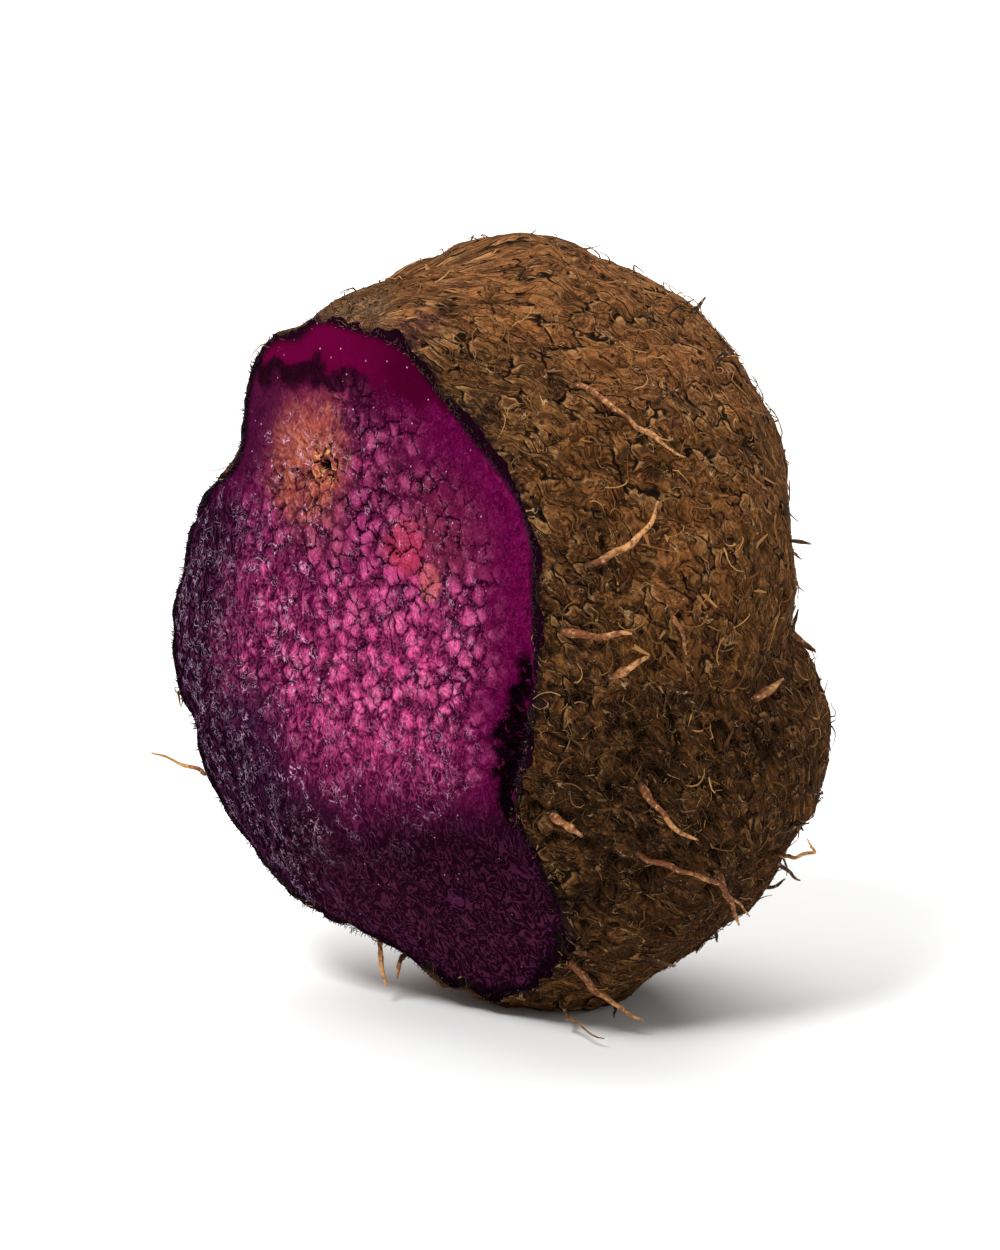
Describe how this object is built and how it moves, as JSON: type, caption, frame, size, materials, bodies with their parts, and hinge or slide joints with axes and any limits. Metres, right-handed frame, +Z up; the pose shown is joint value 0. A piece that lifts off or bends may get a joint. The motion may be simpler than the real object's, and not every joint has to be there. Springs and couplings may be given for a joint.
{
  "type": "purple yam",
  "caption": "Cut end of a rounded purple yam: rough brown bark with rootlets, and one sliced side that bares the purple flesh.",
  "frame": {"origin": "middle of the small flat spot that the yam rests on", "axes": "+Z up, +X to the right of someone who faces the cut side, +Y away from them; the cut side faces -X and -Y"},
  "size_m": [0.1298, 0.1115, 0.1447],
  "materials": {
    "bark": "matt, rough and fibrous"
  },
  "bodies": {
    "root": {"tuber": "bark"}
  },
  "joints": []
}
